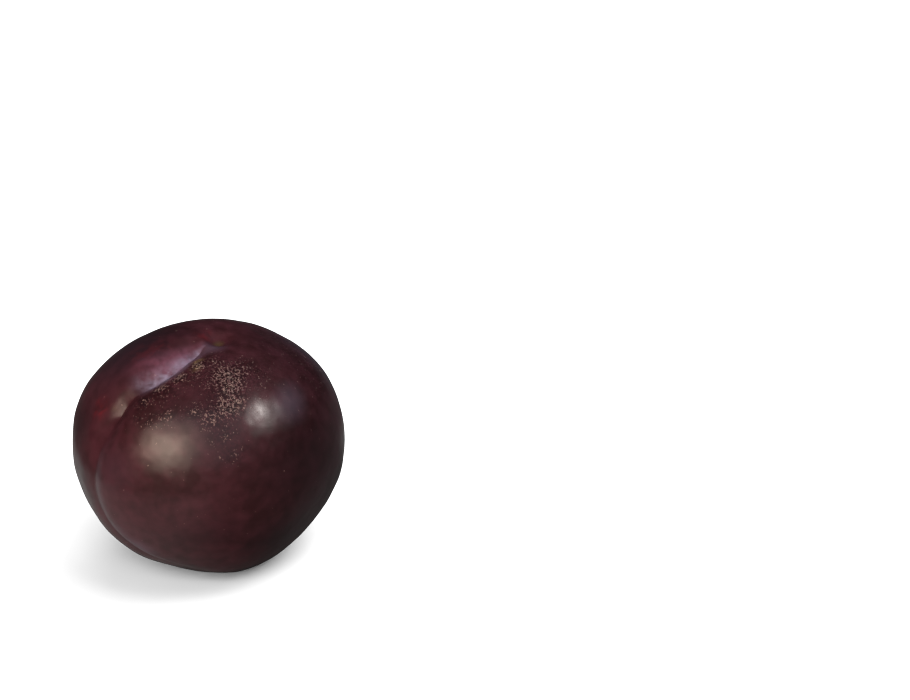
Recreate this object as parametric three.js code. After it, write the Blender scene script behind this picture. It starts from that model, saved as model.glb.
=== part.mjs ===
// A plum: one whole stone fruit, stem gone, standing on the small flat of its underside.
// Millimetres, +Z up, -Y the front. The origin is on the ground, under the middle of the fruit.
//
// The fruit is shaped upright on its own axis first: stem end up, suture towards +X, near
// cheek towards +Y. Places on it are given by `polar`, the degrees down from the stem end, and
// `longitude`, the degrees round from the suture towards the near cheek. It is then turned to
// the way it rests.

import * as THREE from "three";
import { mergeVertices } from "three/addons/utils/BufferGeometryUtils.js";

// Driving dimensions: millimetres and degrees.
const sutureToBack = 66;
const cheekToCheek = 58.4;
const stemToTip = 60.4;
const meanRadius = 31;

// The suture doesn't run straight: whole rings of the fruit are turned about its axis.
const wanders = [
  { polar: 26, angle: 13.5, reach: 18 },
  { polar: 56, angle: 1, reach: 12 },
  { polar: 78, angle: 2.5, reach: 22 },
];

// The stem end is a little flat, and the far cheek is the fuller one near the suture.
const shoulder = { drop: 1.3, reach: 33 };
const farCheek = { longitude: -42, from: 25, to: 75, height: 1, reach: 25 };

// The suture is a wide valley, a fold that is deepest beside the stem, and a thin crease that
// runs all the way down to the blossom end.
const sutureValley = { longitude: -16, from: 16, to: 72, depth: 1.6, reach: 18 };
const sutureFold = { longitude: -2.4, from: 16, to: 68, depth: 1.5, reach: 7 };
const deepFold = { longitude: -2.4, from: 16, to: 38, depth: 1, reach: 7 };
const upperCrease = { longitude: 0, from: 10, to: 62, depth: 1.2, reach: 4 };
const lowerCrease = { longitude: 0, from: 56, to: 176, depth: 0.8, reach: 6 };

// The stem sat in a small pit inside a shallow basin.
const stemBasin = { depth: 1.2, reach: 11 };
const stemPit = { depth: 1.5, reach: 4.5 };

// The blossom end is off the axis, towards the near cheek and away from the suture.
const tipLean = { towardsCheek: 30, fromSuture: 8, reach: 58 };

// The way it rests: spun about its axis, then tipped forwards and to the right.
const rest = { spin: 217, forwards: 2, rightwards: 6 };

// Broad swells (positive height) and hollows seen on the resting fruit from the front.
const swells = [
  { azimuth: 21, elevation: 54, height: -0.9, reach: 13 },
  { azimuth: 175, elevation: 20, height: 0.8, reach: 15 },
  { azimuth: -152, elevation: -14, height: -0.5, reach: 13 },
  { azimuth: -112, elevation: -54, height: -0.7, reach: 11 },
  { azimuth: -75, elevation: -54, height: 0.8, reach: 20 },
  { azimuth: -22, elevation: -27, height: -1.1, reach: 16 },
];
const flatDepth = 0.3;

// How fine the faceted skin is. Its columns stand closer together at the suture.
const columns = 76;
const rows = 54;
const crowding = 0.5;

const right = new THREE.Vector3(1, 0, 0);
const back = new THREE.Vector3(0, 1, 0);
const up = new THREE.Vector3(0, 0, 1);

const { degToRad, radToDeg, clamp } = THREE.MathUtils;

// A ball of unit radius with its poles on Z, as loose points, with the place of each.
const skin = makeBall();
const points = readPoints(skin);
const places = points.map(placeOf);

shapeFruit();
layToRest();

const geometry = finishSkin();
const material = new THREE.MeshStandardMaterial({ color: 0x3a1c20, roughness: 0.35, metalness: 0 });
const plum = new THREE.Mesh(geometry, material);
plum.name = "plum";

const fruit = new THREE.Group();
fruit.add(plum);

export default fruit;

function makeBall() {
  const ball = new THREE.SphereGeometry(1, columns, rows);
  ball.deleteAttribute("normal");
  ball.deleteAttribute("uv");
  ball.rotateX(Math.PI / 2);
  return mergeVertices(ball, 1e-5);
}

// Reads the ball's points and draws its columns closer together around the suture.
function readPoints(ball) {
  const position = ball.getAttribute("position");
  return Array.from({ length: position.count }, (_, index) => {
    const point = new THREE.Vector3().fromBufferAttribute(position, index);
    const longitude = Math.atan2(point.y, point.x);
    return point.applyAxisAngle(up, -crowding * Math.sin(longitude));
  });
}

function placeOf(point) {
  return {
    polar: radToDeg(Math.acos(clamp(point.z, -1, 1))),
    longitude: radToDeg(Math.atan2(point.y, point.x)),
  };
}

function shapeFruit() {
  const halfSize = new THREE.Vector3(sutureToBack, cheekToCheek, stemToTip).divideScalar(2);
  points.forEach((point) => point.multiply(halfSize));

  for (const wander of wanders) {
    turn(ringAt(wander.polar), up, wander.angle, wander.reach);
  }
  push([stemEnd()], up, -shoulder.drop, shoulder.reach);
  press(columnAt(farCheek), -farCheek.height, farCheek.reach);

  press(columnAt(sutureValley), sutureValley.depth, sutureValley.reach);
  press(columnAt(sutureFold), sutureFold.depth, sutureFold.reach);
  press(columnAt(deepFold), deepFold.depth, deepFold.reach);
  press(columnAt(upperCrease), upperCrease.depth, upperCrease.reach, sharpFade);
  press(columnAt(lowerCrease), lowerCrease.depth, lowerCrease.reach, sharpFade);

  push([stemEnd()], up, -stemBasin.depth, stemBasin.reach);
  push([stemEnd()], up, -stemPit.depth, stemPit.reach);

  turn([blossomEnd()], right, tipLean.towardsCheek, tipLean.reach);
  turn([blossomEnd()], back, -tipLean.fromSuture, tipLean.reach);
}

function layToRest() {
  for (const point of points) {
    point.applyAxisAngle(up, degToRad(rest.spin));
    point.applyAxisAngle(right, degToRad(rest.forwards));
    point.applyAxisAngle(back, degToRad(rest.rightwards));
  }
  for (const swell of swells) {
    press([pointTowards(swell.azimuth, swell.elevation)], -swell.height, swell.reach);
  }
}

// Puts the points back in the skin, flat underneath and centred over the origin.
function finishSkin() {
  const ground = Math.min(...points.map((point) => point.z)) + flatDepth;
  const position = skin.getAttribute("position");
  points.forEach((point, index) => {
    position.setXYZ(index, point.x, point.y, Math.max(point.z, ground));
  });
  skin.computeBoundingBox();
  const middle = skin.boundingBox.getCenter(new THREE.Vector3());
  skin.translate(-middle.x, -middle.y, -ground);
  skin.computeVertexNormals();
  return skin;
}

// The points of the column nearest a longitude, between two polar angles.
function columnAt({ longitude, from, to }) {
  const away = (place) => Math.abs(place.longitude - longitude);
  const inRange = (place) => place.polar > from && place.polar < to;
  const nearest = Math.min(...places.filter(inRange).map(away));
  return points.filter((_, index) => inRange(places[index]) && away(places[index]) < nearest + 0.01);
}

// The points of the ring nearest a polar angle.
function ringAt(polar) {
  const away = (place) => Math.abs(place.polar - polar);
  const nearest = Math.min(...places.map(away));
  return points.filter((_, index) => away(places[index]) < nearest + 0.01);
}

function stemEnd() {
  return points[places.findIndex((place) => place.polar < 0.01)];
}

function blossomEnd() {
  return points[places.findIndex((place) => place.polar > 179.99)];
}

// The point that lies nearest a direction from the middle of the fruit: azimuth is counted
// from +X towards +Y, and elevation from level.
function pointTowards(azimuth, elevation) {
  const direction = right
    .clone()
    .applyAxisAngle(back, -degToRad(elevation))
    .applyAxisAngle(up, degToRad(azimuth));
  const away = (point) => point.angleTo(direction);
  return points.reduce((best, point) => (away(point) < away(best) ? point : best));
}

// How strongly each point of the fruit follows the chosen ones: 1 on them, 0 from `reach` on.
function followers(chosen, reach, fade = smoothFade) {
  const anchors = chosen.map((point) => point.clone());
  return points.map((point) => {
    const distance = Math.min(...anchors.map((anchor) => anchor.distanceTo(point)));
    return fade(clamp(1 - distance / reach, 0, 1));
  });
}

function smoothFade(closeness) {
  return closeness * closeness * (3 - 2 * closeness);
}

function sharpFade(closeness) {
  return closeness * closeness;
}

// Moves the chosen points along a direction, and their neighbours with them.
function push(chosen, direction, distance, reach) {
  followers(chosen, reach).forEach((share, index) => {
    points[index].addScaledVector(direction, distance * share);
  });
}

// Moves the chosen points towards the middle of the fruit.
function press(chosen, depth, reach, fade) {
  followers(chosen, reach, fade).forEach((share, index) => {
    points[index].multiplyScalar(1 - (depth / meanRadius) * share);
  });
}

// Turns the chosen points about an axis through the middle of the fruit.
function turn(chosen, axis, angle, reach) {
  followers(chosen, reach).forEach((share, index) => {
    points[index].applyAxisAngle(axis, degToRad(angle * share));
  });
}
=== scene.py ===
import math

import bmesh
import bpy
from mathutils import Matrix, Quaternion, Vector


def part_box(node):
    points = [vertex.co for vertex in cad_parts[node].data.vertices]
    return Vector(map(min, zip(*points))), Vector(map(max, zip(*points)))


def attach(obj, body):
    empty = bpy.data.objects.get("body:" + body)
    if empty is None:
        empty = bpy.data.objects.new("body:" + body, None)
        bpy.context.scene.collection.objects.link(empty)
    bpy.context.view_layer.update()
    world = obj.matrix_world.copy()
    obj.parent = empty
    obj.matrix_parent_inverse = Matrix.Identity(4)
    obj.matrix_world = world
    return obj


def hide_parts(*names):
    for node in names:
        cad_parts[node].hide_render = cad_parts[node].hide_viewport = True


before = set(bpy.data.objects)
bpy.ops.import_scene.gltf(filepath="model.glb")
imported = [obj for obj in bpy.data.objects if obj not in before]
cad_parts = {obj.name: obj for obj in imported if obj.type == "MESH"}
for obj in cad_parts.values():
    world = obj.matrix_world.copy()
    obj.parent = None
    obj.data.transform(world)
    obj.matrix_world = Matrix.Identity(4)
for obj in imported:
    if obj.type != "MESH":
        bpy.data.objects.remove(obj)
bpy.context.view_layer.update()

mm = 0.001


def chooseVerts(wanted):
    bpy.ops.mesh.select_all(action="DESELECT")
    edited = bmesh.from_edit_mesh(bpy.context.edit_object.data)
    edited.verts.ensure_lookup_table()
    for index in wanted:
        edited.verts[index].select = True
    edited.select_flush_mode()
    bmesh.update_edit_mesh(bpy.context.edit_object.data)


def followers(reach, falloff="SMOOTH"):  # proportional editing, with its reach in millimetres
    return {
        "use_proportional_edit": True,
        "proportional_edit_falloff": falloff,
        "proportional_size": reach * mm,
    }


def direction(azimuth, elevation):  # a unit vector, in degrees from +X and up from the ground
    flat = math.cos(math.radians(elevation))
    return Vector((
        flat * math.cos(math.radians(azimuth)),
        flat * math.sin(math.radians(azimuth)),
        math.sin(math.radians(elevation))))


def linearColour(hexColour):  # an sRGB hex value as the linear colour that sockets take
    channels = [int(hexColour[i:i + 2], 16) / 255 for i in (1, 3, 5)]
    linear = [c / 12.92 if c <= 0.04045 else ((c + 0.055) / 1.055) ** 2.4 for c in channels]
    return (*linear, 1)


def addNode(tree, kind, inputs=None, **settings):  # an input is a value, a socket or a node
    node = tree.nodes.new(kind)
    for name, value in settings.items():
        setattr(node, name, value)
    for key, value in (inputs or {}).items():
        if isinstance(value, bpy.types.Node):
            value = value.outputs[0]
        if isinstance(value, bpy.types.NodeSocket):
            tree.links.new(value, node.inputs[key])
        else:
            node.inputs[key].default_value = value
    return node


# The fruit is shaped upright first: stem end up, suture towards +X, near cheek towards +Y.
# polar counts degrees down from the stem end, longitude degrees round from the suture.
fruitShape = {  # millimetres and degrees
    "columns": 320,
    "rings": 180,
    "startAcross": 1,  # the ball it is shaped from
    "sutureToBack": 66,
    "cheekToCheek": 58.4,
    "stemToTip": 60.4,
    "meanRadius": 31,
    "wanders": [  # polar, angle, reach: the suture doesn't run straight
        (26, 13.5, 18),
        (56, 1, 12),
        (78, 2.5, 22),
    ],
    "shoulder": (1.3, 33),  # drop, reach
    "presses": [  # longitude, polar from and to, depth, reach, falloff
        (-42, 25, 75, -1, 25, "SMOOTH"),  # the fuller far cheek
        (-16, 16, 72, 1.6, 18, "SMOOTH"),  # suture valley
        (-2.4, 16, 68, 1.5, 7, "SMOOTH"),  # suture fold
        (-2.4, 16, 38, 1, 7, "SMOOTH"),  # and its deeper part beside the stem
        (0, 10, 62, 1.2, 4, "SHARP"),  # upper crease
        (0, 56, 176, 0.8, 6, "SHARP"),  # lower crease
    ],
    "stemEnd": [  # depth, reach
        (1.2, 11),  # basin
        (1.5, 4.5),  # pit
    ],
    "unevenness": {"height": 0.22, "size": 6},
    "tipLean": {"towardsCheek": 30, "fromSuture": 8, "reach": 58},
    "rest": {"spin": 217, "forwards": 2, "rightwards": 6},
    "swells": [  # azimuth, elevation, height, reach
        (21, 54, -0.9, 13),
        (175, 20, 0.8, 15),
        (-152, -14, -0.5, 13),
        (-112, -54, -0.7, 11),
        (-75, -54, 0.8, 20),
        (-22, -27, -1.1, 16),
    ],
    "flatDepth": 0.3,
}


def pressIn(wanted, depth, reach, falloff="SMOOTH"):  # towards the middle of the fruit
    chooseVerts(wanted)
    scale = 1 - depth / fruitShape["meanRadius"]
    bpy.ops.transform.resize(
        value=(scale, scale, scale), center_override=(0, 0, 0), **followers(reach, falloff))


def pushAlongZ(wanted, distance, reach):
    chooseVerts(wanted)
    bpy.ops.transform.translate(value=(0, 0, distance * mm), **followers(reach))


def turnAbout(axis, angle, **settings):  # with no window the operator turns the other way
    bpy.ops.transform.rotate(
        value=-math.radians(angle), orient_axis=axis, center_override=(0, 0, 0), **settings)


def makeFruit():
    bpy.ops.object.select_all(action="DESELECT")
    bpy.ops.mesh.primitive_uv_sphere_add(
        segments=fruitShape["columns"], ring_count=fruitShape["rings"],
        radius=fruitShape["startAcross"] / 2 * mm)
    fruit = bpy.context.object
    fruit.name = "plum_fruit"
    fruit.data.name = "plum_fruit"

    # where each vertex sits on the round start, for choosing columns and rings by place
    starts = [v.co.normalized() for v in fruit.data.vertices]
    polars = [math.degrees(math.acos(max(-1, min(1, s.z)))) for s in starts]
    longitudes = [math.degrees(math.atan2(s.y, s.x)) for s in starts]
    stemEnd = [polars.index(min(polars))]
    blossomEnd = [polars.index(max(polars))]
    place = fruit.data.attributes.new("place", "FLOAT_VECTOR", "POINT")  # the skin's own map
    place.data.foreach_set("vector", [c for s in starts for c in s])
    sameLine = 0.01  # degrees by which vertices of one column or ring may differ

    def column(longitude, upper, lower):
        inside = [i for i, p in enumerate(polars) if upper < p < lower]
        nearest = min(abs(longitudes[i] - longitude) for i in inside)
        return [i for i in inside if abs(longitudes[i] - longitude) < nearest + sameLine]

    def ring(polar):
        nearest = min(abs(p - polar) for p in polars)
        return [i for i, p in enumerate(polars) if abs(p - polar) < nearest + sameLine]

    bpy.ops.object.mode_set(mode="EDIT")
    bpy.ops.mesh.select_mode(type="VERT")
    bpy.ops.mesh.select_all(action="SELECT")
    bpy.ops.transform.resize(value=(
        fruitShape["sutureToBack"], fruitShape["cheekToCheek"], fruitShape["stemToTip"]))

    for polar, angle, reach in fruitShape["wanders"]:
        chooseVerts(ring(polar))
        turnAbout("Z", angle, **followers(reach))
    drop, reach = fruitShape["shoulder"]
    pushAlongZ(stemEnd, -drop, reach)
    for longitude, upper, lower, depth, reach, falloff in fruitShape["presses"]:
        pressIn(column(longitude, upper, lower), depth, reach, falloff)
    for depth, reach in fruitShape["stemEnd"]:
        pushAlongZ(stemEnd, -depth, reach)
    lean = fruitShape["tipLean"]
    chooseVerts(blossomEnd)
    turnAbout("X", lean["towardsCheek"], **followers(lean["reach"]))
    turnAbout("Y", -lean["fromSuture"], **followers(lean["reach"]))

    # no fruit grows quite even
    bpy.ops.object.mode_set(mode="OBJECT")
    uneven = fruitShape["unevenness"]
    clouds = bpy.data.textures.new("unevenness", "CLOUDS")
    clouds.noise_scale = uneven["size"] * mm
    bpy.ops.object.modifier_add(type="DISPLACE")
    displace = fruit.modifiers[-1]
    displace.texture = clouds
    displace.strength = uneven["height"] * mm
    bpy.ops.object.modifier_apply(modifier=displace.name)
    bpy.ops.object.mode_set(mode="EDIT")
    print("fruit: shaped upright")

    # the way it rests
    bpy.ops.mesh.select_all(action="SELECT")
    rest = fruitShape["rest"]
    turnAbout("Z", rest["spin"])
    turnAbout("X", rest["forwards"])
    turnAbout("Y", rest["rightwards"])
    for azimuth, elevation, height, reach in fruitShape["swells"]:
        towards = direction(azimuth, elevation)
        verts = bmesh.from_edit_mesh(fruit.data).verts
        outermost = min(verts, key=lambda v: v.co.angle(towards))
        pressIn([outermost.index], -height, reach)

    # the small flat it stands on
    verts = bmesh.from_edit_mesh(fruit.data).verts
    ground = min(v.co.z for v in verts) + fruitShape["flatDepth"] * mm
    chooseVerts([v.index for v in verts if v.co.z < ground])
    bpy.ops.transform.resize(value=(1, 1, 0), center_override=(0, 0, ground))

    # down on the ground, over the middle of the CAD node's box
    low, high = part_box("plum")
    xs = [v.co.x for v in verts]
    ys = [v.co.y for v in verts]
    bpy.ops.mesh.select_all(action="SELECT")
    bpy.ops.transform.translate(value=(
        (low.x + high.x) / 2 - (min(xs) + max(xs)) / 2,
        (low.y + high.y) / 2 - (min(ys) + max(ys)) / 2,
        low.z - ground))
    bpy.ops.object.mode_set(mode="OBJECT")
    bpy.ops.object.shade_smooth()
    print("fruit: laid to rest,", len(fruit.data.polygons), "faces")
    return fruit


skinLook = {
    # colours
    "darkSkin": "#2f151a",
    "warmSkin": "#44222b",
    # a deep tone: the skin's own darker colour between lenticels, and painted shade over the dark
    # patches
    "deepSkinAndPaintedShade": "#170a10",
    "blush": "#6d1a24",
    # mauve and bloom are the waxy bloom's colours, and also paint sheen where a lamp's reflection is
    # painted
    "mauveAndPaintedSheen": "#82506a",
    "bloomAndPaintedSheen": "#9a99ba",
    "russet": "#7d6a4a",
    "lenticel": "#c4a6a4",
    "cork": "#a89284",
    "scar": "#4c3a2a",
    # sizes in millimetres
    "broadMottle": 15,
    "fineMottle": 2.8,
    "rubMarks": 2.4,
    "lenticelSpacing": 0.45,
    "lenticelSize": 0.095,
    "fleckSpacing": 0.7,
    "fleckLength": 0.6,
    "straying": {"by": 1.2, "over": 0.9},  # what bends the rows of lenticels and flecks
    "relief": 0.015,
    # how strongly each finish covers the skin, from its faintest to its fullest
    "grain": (0.1, 1),
    "mauveAndSheenCover": (0.26, 0.6),
    "bloomAndSheenCover": (0.08, 0.52),
    "creaseCover": 0.04,
    "lenticelCover": 0.34,
    "lenticelVaries": (0.3, 1),
    "darkBetween": (0, 0.9),
    # how many pores there are
    "strayLenticels": 0.01,
    "fleckShare": 0.62,
    # shine
    "roughness": (0.28, 0.36),
    "bloomRoughness": 0.3,
    "ior": 1.38,
    # soft round patches: polar, longitude and reach in degrees, then strength
    # dark patches, mostly painted shade: the shade that fruit beside it would cast on the right and
    # lower right, and painted shade that dims the reflections on the left flank and below the suture
    "darkPatchesAndPaintedShade": [
        (39, -50, 38, 0.8), (78, -27, 19, 0.62), (48, 42, 26, 0.34), (80, 100, 36, 0.55),
        (122, 60, 26, 0.42), (132, 95, 26, 0.6), (100, -20, 24, 0.6), (84, 14, 18, 0.16)],
    "blushPatches": [(64, -15, 8, 0.6), (30, -30, 18, 0.2), (7, -70, 7, 0.4)],
    # patches of bloom; the one at polar 50, longitude 100 is a painted sheen round the right-hand
    # highlight
    "bloomAndPaintedSheenPatches": [
        (8, 30, 9, 0.1), (50, 100, 14, 0.1), (133, 11, 12, 0.1), (122, 8, 9, 0.05),
        (55, 175, 32, 0.12), (80, -115, 34, 0.1), (48, -54, 38, 0.025), (84, 14, 18, 0.02)],
    "russetPatches": [(21, 20, 5, 0.7), (26, 25, 4, 0.6), (59, -6, 4, 0.1)],
    "crowdedPatches": [
        (31, 57, 18, 0.95),
        (38, 60, 14, 0.95),
        (46, 62, 16, 0.95),
        (52, 55, 12, 0.8),
        (22, 46, 12, 0.7),
        (27, 70, 12, 0.7),
        (32, 80, 14, 0.5),
        (42, 20, 14, 0.55),
        (30, 30, 12, 0.55),
        (50, 45, 9, 0.7),
        (54, 32, 9, 0.7),
        (58, 25, 7, 0.6),
        (24, 26, 9, 0.95),
        (33, 17, 9, 0.95),
        (41, 13, 9, 0.9),
        (50, 14, 8, 0.8),
        (58, 18, 6, 0.6),
        (40, 150, 34, 0.3),
        (60, -130, 30, 0.25),
        (110, -60, 26, 0.12),
        (60, 63, 12, 0.55),
        (69, 66, 11, 0.4),
    ],
    "polishPatches": [(49, 82, 12, 0.07), (54, 79, 8, 0.06)],
    "scarPatches": [(0, 0, 3.5, 1), (180, 0, 2, 1)],
    # soft steps in degrees, each from where the finish is missing to where it is whole
    # the pale strip on the suture's far wall: partly the skin's bloom, partly a painted reflection of
    # the overhead light
    "wallMauveAndPaintedSheen": [
        ("longitude", -36, -10), ("longitude", 4, -2), ("polar", 48, 28), ("polar", 3, 16)],
    "wallBloomAndPaintedSheen": [
        ("longitude", -19, -2), ("longitude", 6, -1), ("polar", 50, 37), ("polar", 3, 14)],
    "bloomCrease": [
        ("longitude", -1, 3), ("longitude", 10, 3), ("polar", 70, 90), ("polar", 165, 140)],
}


def patches(tree, place, spots):  # the strongest of some soft round patches on the skin
    strongest = None
    for polar, longitude, reach, strength in spots:
        away = addNode(tree, "ShaderNodeVectorMath", {
            0: place, 1: direction(longitude, 90 - polar)}, operation="DISTANCE")
        patch = addNode(tree, "ShaderNodeMapRange", {
            0: away.outputs["Value"], 1: 0, 2: math.radians(reach), 3: strength, 4: 0},
            interpolation_type="SMOOTHSTEP")
        if strongest:
            patch = addNode(tree, "ShaderNodeMath", {0: strongest, 1: patch}, operation="MAXIMUM")
        strongest = patch
    return strongest


def stretch(tree, place, steps):  # the part of the skin that is inside every step
    axes = addNode(tree, "ShaderNodeSeparateXYZ", {0: place}).outputs
    angles = {
        "longitude": addNode(
            tree, "ShaderNodeMath", {0: axes["Y"], 1: axes["X"]}, operation="ARCTAN2"),
        "polar": addNode(tree, "ShaderNodeMath", {0: axes["Z"]}, operation="ARCCOSINE"),
    }
    inside = None
    for angle, missing, whole in steps:
        step = addNode(tree, "ShaderNodeMapRange", {
            0: angles[angle], 1: math.radians(missing), 2: math.radians(whole)},
            interpolation_type="SMOOTHSTEP")
        if inside:
            step = addNode(tree, "ShaderNodeMath", {0: inside, 1: step}, operation="MULTIPLY")
        inside = step
    return inside


def perSize(size):  # a pattern's scale on Object coordinates, from its real size
    return 1 / (size * mm)


def lenticels(tree, coords, place):
    # the skin's pores: pale corky dots and short flecks, crowded towards the stem
    look = skinLook
    crowd = addNode(tree, "ShaderNodeMath", {
        0: patches(tree, place, look["crowdedPatches"]), 1: look["strayLenticels"]}, operation="ADD")
    straying = look["straying"]
    warp = addNode(tree, "ShaderNodeTexNoise", {
        "Vector": coords, "Scale": perSize(straying["over"]), "Detail": 2}).outputs["Color"]
    warped = addNode(tree, "ShaderNodeVectorMath", {
        0: warp, 1: [straying["by"] * mm] * 3, 2: coords}, operation="MULTIPLY_ADD")

    cells = addNode(tree, "ShaderNodeTexVoronoi", {
        "Vector": warped, "Scale": perSize(look["lenticelSpacing"])}).outputs
    lots = addNode(tree, "ShaderNodeSeparateColor", {0: cells["Color"]}).outputs  # one set a cell
    chosen = addNode(tree, "ShaderNodeMath", {0: lots["Red"], 1: crowd}, operation="LESS_THAN")
    faintest, fullest = look["lenticelVaries"]
    vivid = addNode(tree, "ShaderNodeMapRange", {0: lots["Green"], 3: faintest, 4: fullest})
    size = look["lenticelSize"] / look["lenticelSpacing"]
    spots = addNode(tree, "ShaderNodeMapRange", {  # each with a soft edge
        0: cells["Distance"], 1: size * 0.6, 2: size * 1.4, 3: 1, 4: 0})
    dots = addNode(tree, "ShaderNodeMath", {0: chosen, 1: spots}, operation="MULTIPLY")
    dots = addNode(tree, "ShaderNodeMath", {0: dots, 1: vivid}, operation="MULTIPLY")

    net = addNode(tree, "ShaderNodeTexVoronoi", {
        "Vector": warped, "Scale": perSize(look["fleckSpacing"])}, feature="DISTANCE_TO_EDGE")
    lines = addNode(tree, "ShaderNodeMapRange", {0: net, 1: 0.03, 2: 0.09, 3: 1, 4: 0})
    gaps = addNode(tree, "ShaderNodeTexNoise", {
        "Vector": coords, "Scale": perSize(look["fleckLength"]), "Detail": 1})
    enough = addNode(tree, "ShaderNodeMath", {0: crowd, 1: look["fleckShare"]}, operation="MULTIPLY")
    kept = addNode(tree, "ShaderNodeMath", {0: enough, 1: gaps}, operation="GREATER_THAN")
    flecks = addNode(tree, "ShaderNodeMath", {0: lines, 1: kept}, operation="MULTIPLY")
    pores = addNode(tree, "ShaderNodeMath", {0: dots, 1: flecks}, operation="MAXIMUM")

    # between the crowded dots the skin is darker
    faintest, fullest = look["darkBetween"]
    high = addNode(tree, "ShaderNodeMapRange", {0: gaps, 1: 0.44, 2: 0.54, 3: faintest, 4: fullest})
    between = addNode(tree, "ShaderNodeMath", {0: crowd, 1: high}, operation="MULTIPLY")
    return pores, between


def makeSkin():
    # ripe plum skin, grown smooth and thinly waxed: dark and glossy, with soft-edged highlights
    material = bpy.data.materials.new("plum skin")
    material.use_nodes = True
    tree = material.node_tree
    tree.nodes.clear()
    look = skinLook
    coords = addNode(tree, "ShaderNodeTexCoord").outputs["Object"]
    place = addNode(tree, "ShaderNodeAttribute", attribute_name="place").outputs["Vector"]
    broad = addNode(tree, "ShaderNodeTexNoise", {
        "Vector": coords, "Scale": perSize(look["broadMottle"]), "Detail": 3})
    fine = addNode(tree, "ShaderNodeTexNoise", {
        "Vector": coords, "Scale": perSize(look["fineMottle"]), "Detail": 4})
    rubbed = addNode(tree, "ShaderNodeTexNoise", {
        "Vector": coords, "Scale": perSize(look["rubMarks"]), "Detail": 3, "Distortion": 0.6})

    # noise keeps close to 0.5, so each step below takes only the middle of its range
    mottle = addNode(tree, "ShaderNodeMath", {0: fine, 1: 0.8, 2: broad}, operation="MULTIPLY_ADD")
    warmth = addNode(tree, "ShaderNodeMapRange", {0: mottle, 1: 0.7, 2: 1.1})
    faintest, fullest = look["grain"]
    grain = addNode(tree, "ShaderNodeMapRange", {0: rubbed, 1: 0.4, 2: 0.6, 3: faintest, 4: fullest})
    blush = addNode(tree, "ShaderNodeMath", {
        0: patches(tree, place, look["blushPatches"]), 1: grain}, operation="MULTIPLY")
    # mauve on the suture's far wall: partly bloom, partly a painted reflection of the overhead light
    faintest, fullest = look["mauveAndSheenCover"]
    blotchy = addNode(tree, "ShaderNodeMapRange", {0: fine, 1: 0.35, 2: 0.65, 3: faintest, 4: fullest})
    mauveAndPaintedSheen = addNode(tree, "ShaderNodeMath", {
        0: stretch(tree, place, look["wallMauveAndPaintedSheen"]), 1: blotchy}, operation="MULTIPLY")
    russet = addNode(tree, "ShaderNodeMath", {
        0: patches(tree, place, look["russetPatches"]), 1: grain}, operation="MULTIPLY")

    # waxy bloom lasts where nothing rubs it off: down in the suture and round the stem. The pale strip
    # on the suture's far wall is partly bloom and partly a painted reflection of the overhead softbox
    faintest, fullest = look["bloomAndSheenCover"]
    patchy = addNode(tree, "ShaderNodeMapRange", {0: rubbed, 1: 0.32, 2: 0.68, 3: faintest, 4: fullest})
    wallBloomAndSheen = addNode(tree, "ShaderNodeMath", {
        0: stretch(tree, place, look["wallBloomAndPaintedSheen"]), 1: patchy}, operation="MULTIPLY")
    crease = addNode(tree, "ShaderNodeMath", {
        0: stretch(tree, place, look["bloomCrease"]), 1: look["creaseCover"]}, operation="MULTIPLY")
    bloomAndPaintedSheen = addNode(tree, "ShaderNodeMath", {0: wallBloomAndSheen, 1: crease}, operation="MAXIMUM")
    bloomAndPaintedSheen = addNode(tree, "ShaderNodeMath", {
        0: bloomAndPaintedSheen, 1: patches(tree, place, look["bloomAndPaintedSheenPatches"])}, operation="MAXIMUM")
    pores, between = lenticels(tree, coords, place)
    pale = addNode(tree, "ShaderNodeMath", {0: pores, 1: look["lenticelCover"]}, operation="MULTIPLY")
    corky = addNode(tree, "ShaderNodeMath", {0: pale, 1: grain}, operation="MULTIPLY")

    # the deep tone over the dark patches is painted shade; between the lenticels it is the skin's own
    # colour
    colour = linearColour(look["darkSkin"])
    for name, amount in (
            ("warmSkin", warmth), ("deepSkinAndPaintedShade", patches(tree, place, look["darkPatchesAndPaintedShade"])),
            ("blush", blush), ("mauveAndPaintedSheen", mauveAndPaintedSheen), ("bloomAndPaintedSheen", bloomAndPaintedSheen),
            ("russet", russet), ("deepSkinAndPaintedShade", between), ("lenticel", pale), ("cork", corky),
            ("scar", patches(tree, place, look["scarPatches"]))):
        colour = addNode(tree, "ShaderNodeMix", {
            0: amount, 6: colour, 7: linearColour(look[name])}, data_type="RGBA").outputs[2]

    # bloom dulls the gloss, and so do rub marks
    glossy, dull = look["roughness"]
    rubs = addNode(tree, "ShaderNodeMapRange", {0: rubbed, 1: 0.3, 2: 0.7, 3: glossy, 4: dull})
    polished = addNode(tree, "ShaderNodeMath", {
        0: rubs, 1: patches(tree, place, look["polishPatches"])}, operation="SUBTRACT")
    roughness = addNode(tree, "ShaderNodeMath", {
        0: bloomAndPaintedSheen, 1: look["bloomRoughness"], 2: polished}, operation="MULTIPLY_ADD")
    height = addNode(tree, "ShaderNodeMath", {0: pores, 1: fine}, operation="ADD")
    bump = addNode(tree, "ShaderNodeBump", {
        "Strength": 1, "Distance": look["relief"] * mm, "Height": height})
    shader = addNode(tree, "ShaderNodeBsdfPrincipled", {
        "Base Color": colour, "Roughness": roughness, "IOR": look["ior"], "Normal": bump})
    addNode(tree, "ShaderNodeOutputMaterial", {"Surface": shader})
    return material


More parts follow.
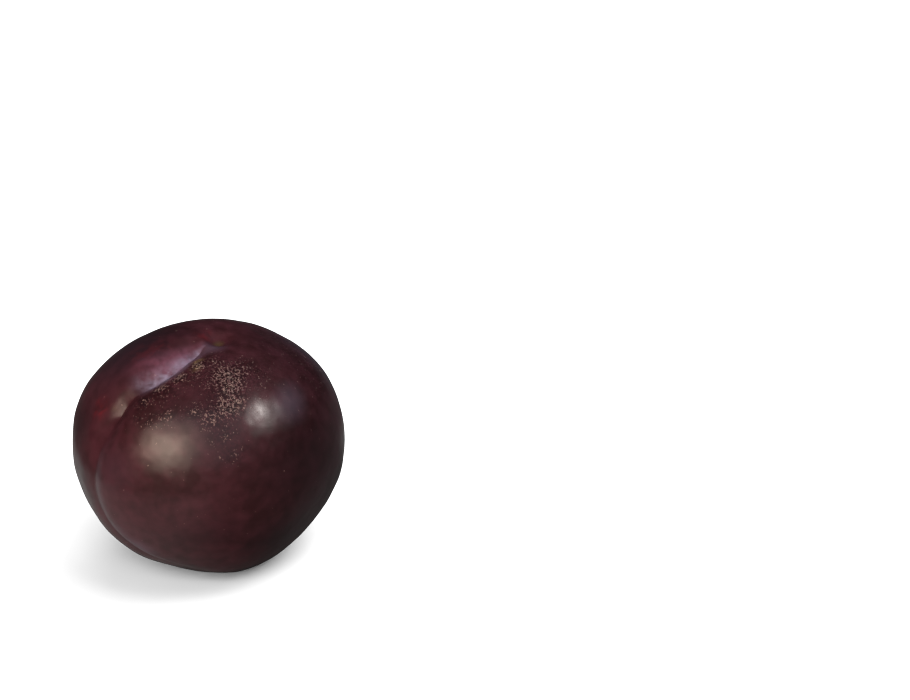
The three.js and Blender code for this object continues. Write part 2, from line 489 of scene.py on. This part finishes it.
studio = {
    "floorSize": 4.0,  # metres
    "paintedLitFloor": "#a5a4a2",
    "paintedShadeFloor": "#4b4a49",
    "floorRoughness": 0.8,
    "paintedPoolWithin": (88, 112),  # millimetres from the origin, where the painted pool of light turns to painted shade
    "shade": {"middle": (90, -20, 0), "from": 75, "to": 110},  # and a patch of painted shade inside that, the shade of fruit beside it
    "aim": (0, 0, 30),  # millimetres: the middle of the fruit
    "roomLight": 0.22,
    "roomReflection": 0.018,
    "backdropLight": 1.68,
    "lights": {  # azimuth, elevation and distance, size and lean: degrees and millimetres
        "key softbox": {
            "from": (-112, 22, 800), "size": (540, 390), "lean": 0, "watts": 7.2,
            "colour": "#ffe4cc", "diffuse": True, "glossy": True, "lights": "fruit"},
        "wide softbox": {
            "from": (-85, 30, 800), "size": (1200, 700), "lean": 0, "watts": 2.9,
            "colour": "#efe8f4", "diffuse": False, "glossy": True, "lights": "fruit"},
        "side softbox": {  # only its reflection is wanted
            "from": (-18.5, 35.2, 800), "size": (230, 70), "lean": 38, "watts": 2.15,
            "colour": "#fff8f4", "diffuse": False, "glossy": True, "lights": "fruit"},
        "overhead softbox": {  # fills without a reflection
            "from": (25, 68, 900), "size": (1200, 1200), "lean": 0, "watts": 6.8,
            "colour": "#ffffff", "diffuse": True, "glossy": False, "lights": "all"},
        "low floor softbox": {
            "from": (-95, 32, 900), "size": (900, 400), "lean": 0, "watts": 8.5,
            "colour": "#ffffff", "diffuse": True, "glossy": False, "lights": "floor"},
        "high floor softbox": {
            "from": (-22, 54, 900), "size": (650, 650), "lean": 0, "watts": 3.4,
            "colour": "#ffffff", "diffuse": True, "glossy": False, "lights": "floor"},
    },
}


def makeFloor():
    bpy.ops.mesh.primitive_plane_add(size=studio["floorSize"], location=(0, 0, 0))
    floor = bpy.context.object
    floor.name = "floor"
    paper = bpy.data.materials.new("paper painted with light and shade")  # throws a soft light up at the fruit's lower side; its colour paints a pool of light round the fruit, and shade to the right and further out
    paper.use_nodes = True
    tree = paper.node_tree
    tree.nodes.clear()
    coords = addNode(tree, "ShaderNodeTexCoord").outputs["Object"]
    shade = studio["shade"]
    fromMiddle = addNode(tree, "ShaderNodeVectorMath", {0: coords}, operation="LENGTH")
    fromShade = addNode(tree, "ShaderNodeVectorMath", {
        0: coords, 1: Vector(shade["middle"]) * mm}, operation="DISTANCE")
    pale, shaded = studio["paintedPoolWithin"]
    near = addNode(tree, "ShaderNodeMapRange", {
        0: fromMiddle.outputs["Value"], 1: pale * mm, 2: shaded * mm, 3: 1, 4: 0},
        interpolation_type="SMOOTHSTEP")
    lit = addNode(tree, "ShaderNodeMapRange", {
        0: fromShade.outputs["Value"], 1: shade["from"] * mm, 2: shade["to"] * mm},
        interpolation_type="SMOOTHSTEP")
    # pale inside the painted pool of light, darker in the painted shade
    paintedLightAndShade = addNode(tree, "ShaderNodeMath", {0: near, 1: lit}, operation="MULTIPLY")
    colour = addNode(tree, "ShaderNodeMix", {
        0: paintedLightAndShade, 6: linearColour(studio["paintedShadeFloor"]), 7: linearColour(studio["paintedLitFloor"])},
        data_type="RGBA").outputs[2]
    shader = addNode(tree, "ShaderNodeBsdfPrincipled", {
        "Base Color": colour, "Roughness": studio["floorRoughness"]})
    addNode(tree, "ShaderNodeOutputMaterial", {"Surface": shader})
    floor.data.materials.append(paper)
    floor.is_shadow_catcher = True
    return floor


def makeLights(fruit, floor):
    receivers = {}  # most of the lamps are set for the fruit or for the floor alone
    for name, lit in (("fruit", fruit), ("floor", floor)):
        receivers[name] = bpy.data.collections.new(name + " only")
        receivers[name].objects.link(lit)
    aim = Vector(studio["aim"]) * mm
    for name, light in studio["lights"].items():
        azimuth, elevation, distance = light["from"]
        towards = direction(azimuth, elevation)
        bpy.ops.object.light_add(type="AREA", location=aim + towards * distance * mm)
        lamp = bpy.context.object
        lamp.name = name
        lean = Quaternion((0, 0, 1), math.radians(light["lean"]))
        lamp.rotation_euler = (towards.to_track_quat("Z", "Y") @ lean).to_euler()
        lamp.data.shape = "RECTANGLE"
        lamp.data.size, lamp.data.size_y = (side * mm for side in light["size"])
        lamp.data.energy = light["watts"]
        lamp.data.color = linearColour(light["colour"])[:3]
        lamp.visible_diffuse = light["diffuse"]
        lamp.visible_glossy = light["glossy"]
        if light["lights"] in receivers:
            lamp.light_linking.receiver_collection = receivers[light["lights"]]


def makeRoom():  # a dim room round the fruit, with a white backdrop behind it
    world = bpy.data.worlds.new("studio")
    bpy.context.scene.world = world
    world.use_nodes = True
    tree = world.node_tree
    tree.nodes.clear()
    white = (1, 1, 1, 1)
    room = addNode(tree, "ShaderNodeBackground", {"Color": white, "Strength": studio["roomLight"]})
    reflection = addNode(tree, "ShaderNodeBackground", {
        "Color": white, "Strength": studio["roomReflection"]})
    backdrop = addNode(tree, "ShaderNodeBackground", {
        "Color": white, "Strength": studio["backdropLight"]})
    rays = addNode(tree, "ShaderNodeLightPath").outputs
    lighting = addNode(tree, "ShaderNodeMixShader", {
        0: rays["Is Glossy Ray"], 1: room, 2: reflection})
    seen = addNode(tree, "ShaderNodeMixShader", {0: rays["Is Camera Ray"], 1: lighting, 2: backdrop})
    addNode(tree, "ShaderNodeOutputWorld", {"Surface": seen})
    bpy.context.scene.view_settings.view_transform = "Standard"


cameraView = {
    "place": (58.3, -544.5, 282.9),  # millimetres
    "lookDown": 22.8,  # degrees
    "lens": 100,
    "sensor": 36,
}


def makeCamera():
    bpy.ops.object.camera_add(
        location=Vector(cameraView["place"]) * mm,
        rotation=(math.radians(90 - cameraView["lookDown"]), 0, 0))
    camera = bpy.context.object
    camera.data.lens = cameraView["lens"]
    camera.data.sensor_width = cameraView["sensor"]
    bpy.context.scene.camera = camera


makeCamera()
makeRoom()
floor = makeFloor()
fruit = makeFruit()
fruit.data.materials.append(makeSkin())
makeLights(fruit, floor)
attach(fruit, "root")
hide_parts("plum")
print("studio and fruit ready")
